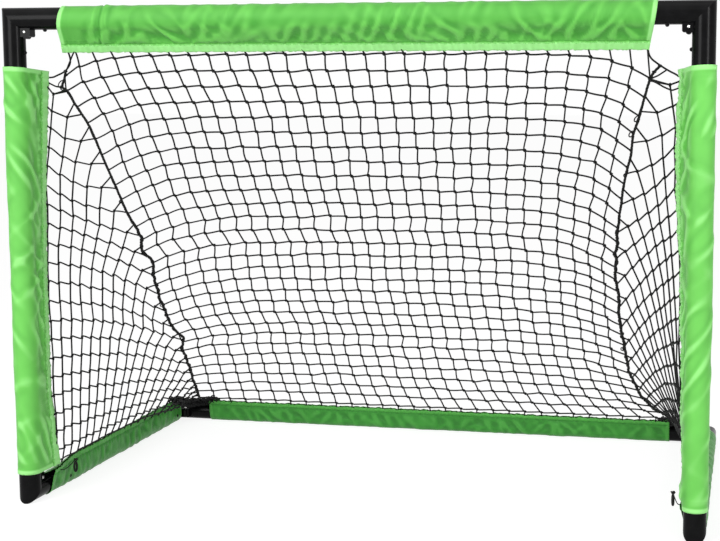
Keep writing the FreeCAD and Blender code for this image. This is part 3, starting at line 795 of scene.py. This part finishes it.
def knots(rng, centres, normal):
    """A small knot at each place, flat to the net."""
    across = unit(np.cross(normal, vec(0.3, 0.2, 1)))
    other = np.cross(normal, across)
    template = knot_template(KNOT_SIZE)
    turns = rng.uniform(0, 2 * math.pi, len(centres))
    flips = rng.choice([-1, 1], len(centres))
    cos, sin = np.cos(turns)[:, None, None], np.sin(turns)[:, None, None]
    x, y, z = (template[None, :, k:k + 1] for k in range(3))
    paths = (centres[:, None, :] + (x * cos - y * sin) * across + (x * sin + y * cos) * other
             + z * flips[:, None, None] * normal)
    return tubes(paths, KNOT_RADIUS, 5, closed=True)


def net_strands(rng, places, used, normal, jogs):
    """Strands along both ways of a grid of knots."""
    parts = []
    for starts, ends, jog in ((np.s_[:-1, :], np.s_[1:, :], jogs[0]),
                              (np.s_[:, :-1], np.s_[:, 1:], jogs[1])):
        keep = used[starts] & used[ends]
        paths = strand_paths(rng, places[starts][keep], places[ends][keep], normal, jog)
        parts.append(tubes(paths, TWINE_RADIUS, 6))
    return parts


def ties(rng, starts, ends, normal):
    """Short strands that tie a net's edge."""
    return tubes(strand_paths(rng, starts, ends, normal, TIE_JOG), TWINE_RADIUS, 6)


# Bunched net at the rear corners: loops, their size and strength, how far they scatter, and how
# low they hang
BUNCH_LOOPS = 170
BUNCH_SIZE = 0.0068
BUNCH_RADIUS = TWINE_RADIUS * 0.85
BUNCH_SCATTER = 0.0050, 0.0060, 0.0042
BUNCH_LOWEST = 0.0478
# Its path: (distance from the middle, y, height)
BUNCH_PATH = ((0.750, 0.335, 0.075), (0.742, 0.378, 0.064), (0.720, 0.408, 0.056),
              (0.686, 0.422, 0.055), (0.655, 0.424, 0.062))


def bunch(rng, path):
    """Crumpled loops of twine heaped along a path."""
    t = around(24)
    middles = path[rng.integers(0, len(path), BUNCH_LOOPS)] + rng.normal(
        0, 1, (BUNCH_LOOPS, 3)) * BUNCH_SCATTER
    loops = np.zeros((BUNCH_LOOPS, len(t), 3))
    for times, share in ((1, 1.0), (2, 0.45), (3, 0.30)):
        phases = rng.uniform(0, 2 * math.pi, (BUNCH_LOOPS, 1, 3))
        sizes = share * rng.uniform(0.4, 1.2, (BUNCH_LOOPS, 1, 3)) * (1.0, 1.0, 0.6)
        loops += sizes * np.cos(times * t[None, :, None] + phases)
    loops = middles[:, None, :] + loops * BUNCH_SIZE
    lowest = BUNCH_LOWEST + rng.uniform(0, 0.003, (BUNCH_LOOPS, 1))
    loops[..., 2] = np.maximum(loops[..., 2], lowest)
    return tubes(loops, BUNCH_RADIUS, 5, closed=True)


# How far the ties' ends lie inside the hem
TIE_DEPTH = 0.006
SIDE_NORMAL = vec(1, 0, 0)

rng = np.random.default_rng(5)
back = back_knots(rng)
parts = net_strands(rng, back, np.ones(back.shape[:2], bool), SLOPE_NORMAL, (BACK_JOG, -BACK_JOG))
parts.append(knots(rng, back[1:-1].reshape(-1, 3), SLOPE_NORMAL))
for edge, along in ((0, FRONT_FLAP - TIE_DEPTH), (-1, SLOPE_LENGTH - REAR_FLAP + TIE_DEPTH)):
    hem = slope_places((max(-NET_HALF, min(NET_HALF, p[0] - 0.004)), along) for p in back[:, edge])
    parts.append(ties(rng, hem, back[:, edge], SLOPE_NORMAL))
new_piece("net_back_twine", *joined(parts), TWINE_BLACK, "net_twine", "net_back")

for side_name, side in SIDES:
    rng = np.random.default_rng(60 + side)
    places, used, on_post, row_ends, column_tops, feet = side_knots(rng, side_name, side)
    parts = net_strands(rng, places, used, SIDE_NORMAL, (ROW_JOG, COLUMN_JOG))
    parts.append(knots(rng, places[used], unit(vec(-side, 0.25, 0.1))))
    last = np.arange(len(feet))
    post_edge = beside_post(side_name, side, on_post[:, 2] + 0.002, FRONT_FLAP - TIE_DEPTH)
    rail_edge = feet - (feet - vec(side * POST_X, 0, BASE_Z)) * (1, 0, 1) * 0.18
    for starts, ends in ((places[last, last], row_ends), (column_tops, places[last, last]),
                         (post_edge, places[0]), (places[:, -1], feet), (rail_edge, feet),
                         (feet[:-1], feet[1:])):
        parts.append(ties(rng, starts, ends, SIDE_NORMAL))
    parts.append(bunch(rng, curve_through(np.array(BUNCH_PATH) * (side, 1, 1), 60)))
    new_piece("net_twine_" + side_name, *joined(parts), TWINE_BLACK, "net_twine",
              "net_" + side_name)


# Lashed seams between the back and the sides

# Upper ends of the seams, and the cords that tie them in: points as in the seams' routes
SEAM_START = {"left": ((-0.703, 0.152, -0.004), (-0.692, 0.146, 0.018), (-0.703, 0.168, 0.036)),
              "right": ((0.680, 0.138, 0.000), (0.668, 0.142, 0.016))}
SEAM_TIES = {"left": (((-0.703, 0.168, 0.036), (-0.722, 0.172, 0.028), (-0.7405, 0.167, 0.021)),),
             "right": (((0.692, 0.152, -0.002), (0.676, 0.152, 0.016), (0.660, 0.148, 0.033)),
                       ((0.660, 0.150, 0.032), (0.676, 0.162, 0.030), (0.689, 0.172, 0.030),
                        (0.706, 0.178, 0.034), (0.7215, 0.169, 0.037)))}
# Loose loops: share of the seam, and size
SEAM_LOOPS = {"left": ((0.036, 0.0065), (0.052, 0.0045), (0.31, 0.004), (0.62, 0.005)),
              "right": ((0.105, 0.006), (0.135, 0.0065), (0.22, 0.003), (0.70, 0.005))}
# Share of the seam where its thin upper end is over
THIN_END = 0.36
SEAM_STEP = 0.0035
# At the thin end and further down: unevenness of the seam, distance of its strands from its
# middle and their radius, and distance of the lashing
SEAM_SHAKE = 0.0004, 0.0020
STRAND_OFFSET = 0.0013, 0.0019
STRAND_RADIUS = 0.0020, 0.0022
LASHING_OFFSET = 0.0018, 0.0036
STRAND_TURN = 0.024
STRAND_PHASES = 0.0, 2.1, 4.2
LASHING_TURN = 0.0235
LASHING_RADIUS = 0.0011
WRAPPINGS = 26
WRAPPING_TURN = 2 * math.pi * 2.2
WRAPPING_RADIUS = 0.0013
WRAPPING_OFFSET = 0.0028, 0.0044
WRAPPING_LENGTH = 0.004, 0.009
LOOP_RADIUS = 0.0014
SEAM_TIE_STEP = 0.002
SEAM_TIE_RADIUS = 0.0019
SEAM_KNOT_SIZE = 0.0013
CORD_KNOT_RADIUS = 0.0017


def ease(values, rounds):
    """Even out neighbouring values, in place, and leave the first and last."""
    for _ in range(rounds):
        values[1:-1] = (values[:-2] + 2 * values[1:-1] + values[2:]) / 4


def smooth_path(points, spacing, rounds):
    """Dense path through points, with its corners eased."""
    length = np.linalg.norm(np.diff(points, axis=0), axis=1).sum()
    dense = curve_through(points, int(length / spacing) + 2)
    ease(dense, rounds)
    return dense


def helix_about(path, radius, turn_length, phase):
    """Path wound round another."""
    step = np.r_[0, np.linalg.norm(np.diff(path, axis=0), axis=1)].cumsum()
    tangents = units(np.gradient(path, axis=0))
    first, second = crossways(tangents, np.broadcast_to(vec(1, 0, 0), tangents.shape))
    angle = (step * 2 * math.pi / turn_length + phase)[:, None]
    return path + (np.cos(angle) * first + np.sin(angle) * second) * radius[:, None]


def wrapping(rng, line, k):
    """A few turns of thin cord round one place of a seam."""
    tangent = unit(line[k + 1] - line[k - 1])
    first, second = crossways(tangent[None, :], vec(0.2, 0.4, 0.9)[None, :])
    turn = np.linspace(0, WRAPPING_TURN, 26)[:, None]
    offset = rng.uniform(*WRAPPING_OFFSET)
    coil = (line[k] + offset * (np.cos(turn) * first + np.sin(turn) * second)
            + tangent * (turn / WRAPPING_TURN - 0.5) * rng.uniform(*WRAPPING_LENGTH))
    return long_tube(coil, WRAPPING_RADIUS, 5)


def seam_loop(line, k, size):
    """Loose loop of thin cord that stands off a seam."""
    turn = around(24)[:, None]
    out = unit(vec(-1, -0.3, -0.3))
    ring = (line[k] + out * size * 0.8 * (1 - np.cos(turn))
            + unit(line[k + 1] - line[k]) * size * 1.1 * np.sin(turn))
    return tubes(ring[None], LOOP_RADIUS, 6, closed=True)


def cord_knot(place, size):
    """Small knot in a cord."""
    return tubes((place + knot_template(size))[None], CORD_KNOT_RADIUS, 6, closed=True)


for side_name, side in SIDES:
    rng = np.random.default_rng(80 + side)
    route = slope_places(SEAM_START[side_name] + SEAM_ROUTE[side_name])
    line = smooth_path(route, SEAM_STEP, 4)
    grow = ramp(np.linspace(0, 1, len(line)), THIN_END - 0.10, THIN_END + 0.05)
    shake = rng.normal(0, 1, (len(line), 3))
    ease(shake, 3)
    line += shake * between(SEAM_SHAKE, grow)[:, None]

    # Three strands laid round each other, and a lashing from the end of the thin length
    parts = [long_tube(helix_about(line, between(STRAND_OFFSET, grow), STRAND_TURN, phase),
                       between(STRAND_RADIUS, grow), 6) for phase in STRAND_PHASES]
    lashing = helix_about(line, between(LASHING_OFFSET, grow), LASHING_TURN, 1.0)
    parts.append(long_tube(lashing[int(len(line) * (THIN_END - 0.06)):], LASHING_RADIUS, 6))
    for place in np.linspace(THIN_END, 0.97, WRAPPINGS) + rng.normal(0, 0.006, WRAPPINGS):
        parts.append(wrapping(rng, line, int(np.clip(place, 0.02, 0.98) * (len(line) - 1))))
    for place, size in SEAM_LOOPS[side_name]:
        parts.append(seam_loop(line, int(place * len(line)), size))
    for tie in SEAM_TIES[side_name]:
        path = smooth_path(slope_places(tie), SEAM_TIE_STEP, 3)
        parts.append(long_tube(path, SEAM_TIE_RADIUS, 8))
    for place in route[:len(SEAM_START[side_name]) + 1]:
        parts.append(cord_knot(place, SEAM_KNOT_SIZE))
    new_piece("seam_lashing_" + side_name, *joined(parts), CORD_BLACK, "lashing_cord",
              "seam_cord_" + side_name)


# Cords at the upper corners and ties at the feet

def cord_piece(name, points, radius, node):
    """Free cord on a smooth spline through its route."""
    curve = bpy.data.curves.new(name, "CURVE")
    curve.dimensions = "3D"
    spline = curve.splines.new("NURBS")
    spline.points.add(len(points) - 1)
    for spline_point, place in zip(spline.points, points):
        spline_point.co = (*place, 1)
    spline.order_u = 3
    spline.use_endpoint_u = True
    curve.resolution_u = 12
    curve.bevel_depth = radius
    curve.bevel_resolution = 3
    curve.use_fill_caps = True
    curve.materials.append(CORD_BLACK)
    piece = linked(name, curve)
    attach(piece, "root")
    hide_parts(node)


# Corner cords: X on the crossbar's hem, two places on the way, the end on the post's hem, length
CORNER_CORDS = {"left": (-0.674, ((-0.687, -0.352, 1.020), (-0.709, -0.338, 1.006)),
                         (-0.7412, -0.3530, 0.994), 0.118),
                "right": (0.656, ((0.677, -0.352, 1.020), (0.699, -0.338, 1.006)),
                          (0.7260, -0.3605, 0.994), 0.117)}
CORNER_CORD_RADIUS = 0.0021

# Foot ties: from the post's hem to a knot, with a loop below it
TIE_ANGLE = math.radians(70)
TIE_RADIUS = 0.0011
TIE_KNOT = (0.7215, -0.3185, 0.072)
TIE_KNOT_SIZE = 0.0016
TIE_LOOP_DROP = 0.0175
TIE_LOOP_HALF = 0.0043, 0.0115
TIE_LOOP_RADIUS = 0.0026

for side_name, side in SIDES:
    hem_x, ways, end, length = CORNER_CORDS[side_name]
    flap = vec(-side * math.cos(POST_FLAP_ANGLE), math.sin(POST_FLAP_ANGLE), 0)
    start, end = on_slope(hem_x, FRONT_FLAP), vec(*end)
    route = [start, start + SLOPE * 0.020, *ways,
             end + flap * 0.020 + vec(-side * 0.003, 0.002, 0.005), end + flap * 0.013, end]
    cord_piece("corner_cord_line_" + side_name, route, CORNER_CORD_RADIUS,
               "corner_cord_" + side_name)

    flap = vec(-side * math.cos(TIE_ANGLE), math.sin(TIE_ANGLE), 0)
    start = vec(side * POST_X, FRONT_Y, BASE_Z + POST_SLEEVE_FOOT) + flap * (FRONT_FLAP - 0.008)
    knot = vec(*TIE_KNOT) * (side, 1, 1)
    inward = vec(-side, 0, 0)
    route = [start, start - vec(0, 0, 0.012), start + inward * 0.011 + vec(0, 0.006, -0.016),
             start + inward * 0.018 + vec(0, 0.024, -0.010), knot]
    turn = around(40)
    loop_path = (knot - vec(0, 0, TIE_LOOP_DROP)
                 + np.outer(np.sin(turn) * TIE_LOOP_HALF[0], flap)
                 + np.outer(np.cos(turn) * TIE_LOOP_HALF[1], vec(0, 0, 1)))
    loop = new_piece("foot_tie_loop_" + side_name,
                     *joined([tubes(loop_path[None], TIE_LOOP_RADIUS, 8, closed=True),
                              cord_knot(knot, TIE_KNOT_SIZE)]),
                     CORD_BLACK, "lashing_cord")
    cord_piece("foot_tie_line_" + side_name, route, TIE_RADIUS, "foot_tie_" + side_name)


# Surroundings: a pale floor, a white room and soft lamps

def seen_rays(tree):
    """1 for rays of the camera, and for those that gloss or glass sends on."""
    path = add_node(tree, "ShaderNodeLightPath")
    total = path.outputs["Is Camera Ray"]
    for kind in ("Is Glossy Ray", "Is Transmission Ray"):
        add = add_node(tree, "ShaderNodeMath", operation="ADD", use_clamp=True)
        tree.links.new(total, add.inputs[0])
        tree.links.new(path.outputs[kind], add.inputs[1])
        total = add.outputs["Value"]
    return total


def surface(tree, kind, share, met, seen):
    """Output of a tree: what light meets, and to this share what is seen."""
    mix = add_node(tree, "ShaderNodeMixShader")
    output = add_node(tree, kind)
    tree.links.new(share, mix.inputs["Fac"])
    tree.links.new(met, mix.inputs[1])
    tree.links.new(seen, mix.inputs[2])
    tree.links.new(mix.outputs["Shader"], output.inputs["Surface"])


FLOOR_HALF = 60.0
FLOOR_COLOUR = 0.90, 0.90, 0.90, 1
WHITE = 1, 1, 1, 1
FLOOR_WHITE_SHARE = 0.70
FLOOR_WHITE = 1.22
ROOM_LIGHT = 0.24
SKY_LIGHT = 0.8
# Soft lamps: place, what they face, width and height, power
LAMPS = {"key": ((-2.1, -4.2, 1.9), (0, 0, 0.6), (2.2, 2.4), 130),
         "fill": ((3.2, -3.1, 1.5), (0, 0, 0.6), (0.7, 2.4), 76),
         "top": ((0.2, -0.9, 3.6), (0, -0.1, 0.5), (2.6, 1.6), 8)}

pale = bpy.data.materials.new("pale floor")
pale.use_nodes = True
tree = pale.node_tree
tree.nodes.clear()
diffuse = add_node(tree, "ShaderNodeBsdfDiffuse", Color=FLOOR_COLOUR)
glow = add_node(tree, "ShaderNodeEmission", Strength=FLOOR_WHITE)
share = add_node(tree, "ShaderNodeMath", operation="MULTIPLY")
share.inputs[1].default_value = FLOOR_WHITE_SHARE
tree.links.new(seen_rays(tree), share.inputs[0])
surface(tree, "ShaderNodeOutputMaterial", share.outputs["Value"], diffuse.outputs["BSDF"],
        glow.outputs["Emission"])

floor_mesh = bpy.data.meshes.new("floor")
floor_mesh.from_pydata([(x * FLOOR_HALF, y * FLOOR_HALF, 0)
                        for x, y in ((-1, -1), (1, -1), (1, 1), (-1, 1))], [], [(0, 1, 2, 3)])
floor_mesh.materials.append(pale)
linked("floor", floor_mesh)

world = bpy.data.worlds.new("white room")
bpy.context.scene.world = world
world.use_nodes = True
tree = world.node_tree
tree.nodes.clear()
room = add_node(tree, "ShaderNodeBackground", Color=WHITE, Strength=ROOM_LIGHT)
white = add_node(tree, "ShaderNodeBackground", Color=WHITE, Strength=1.0)
surface(tree, "ShaderNodeOutputWorld", seen_rays(tree), room.outputs["Background"],
        white.outputs["Background"])

for name, (place, target, size, power) in LAMPS.items():
    light = bpy.data.lights.new(name, "AREA")
    light.shape = "RECTANGLE"
    light.size, light.size_y = size
    light.energy = power
    lamp = linked(name, light)
    lamp.location = place
    away = unit(vec(*place) - vec(*target))
    aside = unit(np.cross(vec(0, 0, 1), away))
    upwards = np.cross(away, aside)
    lamp.rotation_euler = Matrix(np.stack([aside, upwards, away], axis=1).tolist()).to_euler()

# Even light on the whole floor
sky_light = bpy.data.lights.new("sky", "SUN")
sky_light.energy = SKY_LIGHT
sky_light.angle = math.radians(70)
sky = linked("sky", sky_light)
sky.rotation_euler = math.radians(35), 0, math.radians(-20)

# Camera: where the photograph was taken from, with its frame shifted as the picture is cropped
CAMERA_PLACE = (0.8772, -3.3969, 0.9569)
CAMERA_YAW = math.radians(11.126)
CAMERA_PITCH = math.radians(6.576)
CAMERA_ROLL = math.radians(0.062)
PHOTO_WIDTH, PHOTO_HEIGHT = 720, 541
FOCAL_PIXELS = 1400.0
PRINCIPAL_X, PRINCIPAL_Y = 476.0, 255.4

forward = vec(-math.sin(CAMERA_YAW) * math.cos(CAMERA_PITCH),
              math.cos(CAMERA_YAW) * math.cos(CAMERA_PITCH), -math.sin(CAMERA_PITCH))
right = vec(math.cos(CAMERA_YAW), math.sin(CAMERA_YAW), 0)
up = np.cross(right, forward)
right, up = (right * math.cos(CAMERA_ROLL) + up * math.sin(CAMERA_ROLL),
             up * math.cos(CAMERA_ROLL) - right * math.sin(CAMERA_ROLL))
lens = bpy.data.cameras.new("camera")
lens.sensor_fit = "HORIZONTAL"
lens.sensor_width = 36.0
lens.lens = FOCAL_PIXELS / PHOTO_WIDTH * lens.sensor_width
lens.shift_x = (PHOTO_WIDTH / 2 - PRINCIPAL_X) / PHOTO_WIDTH
lens.shift_y = (PRINCIPAL_Y - PHOTO_HEIGHT / 2) / PHOTO_WIDTH
camera = linked("camera", lens)
camera.matrix_world = (Matrix.Translation(CAMERA_PLACE)
                       @ Matrix(np.stack([right, up, -forward], axis=1).tolist()).to_4x4())
bpy.context.scene.camera = camera
bpy.context.scene.view_settings.view_transform = "Standard"
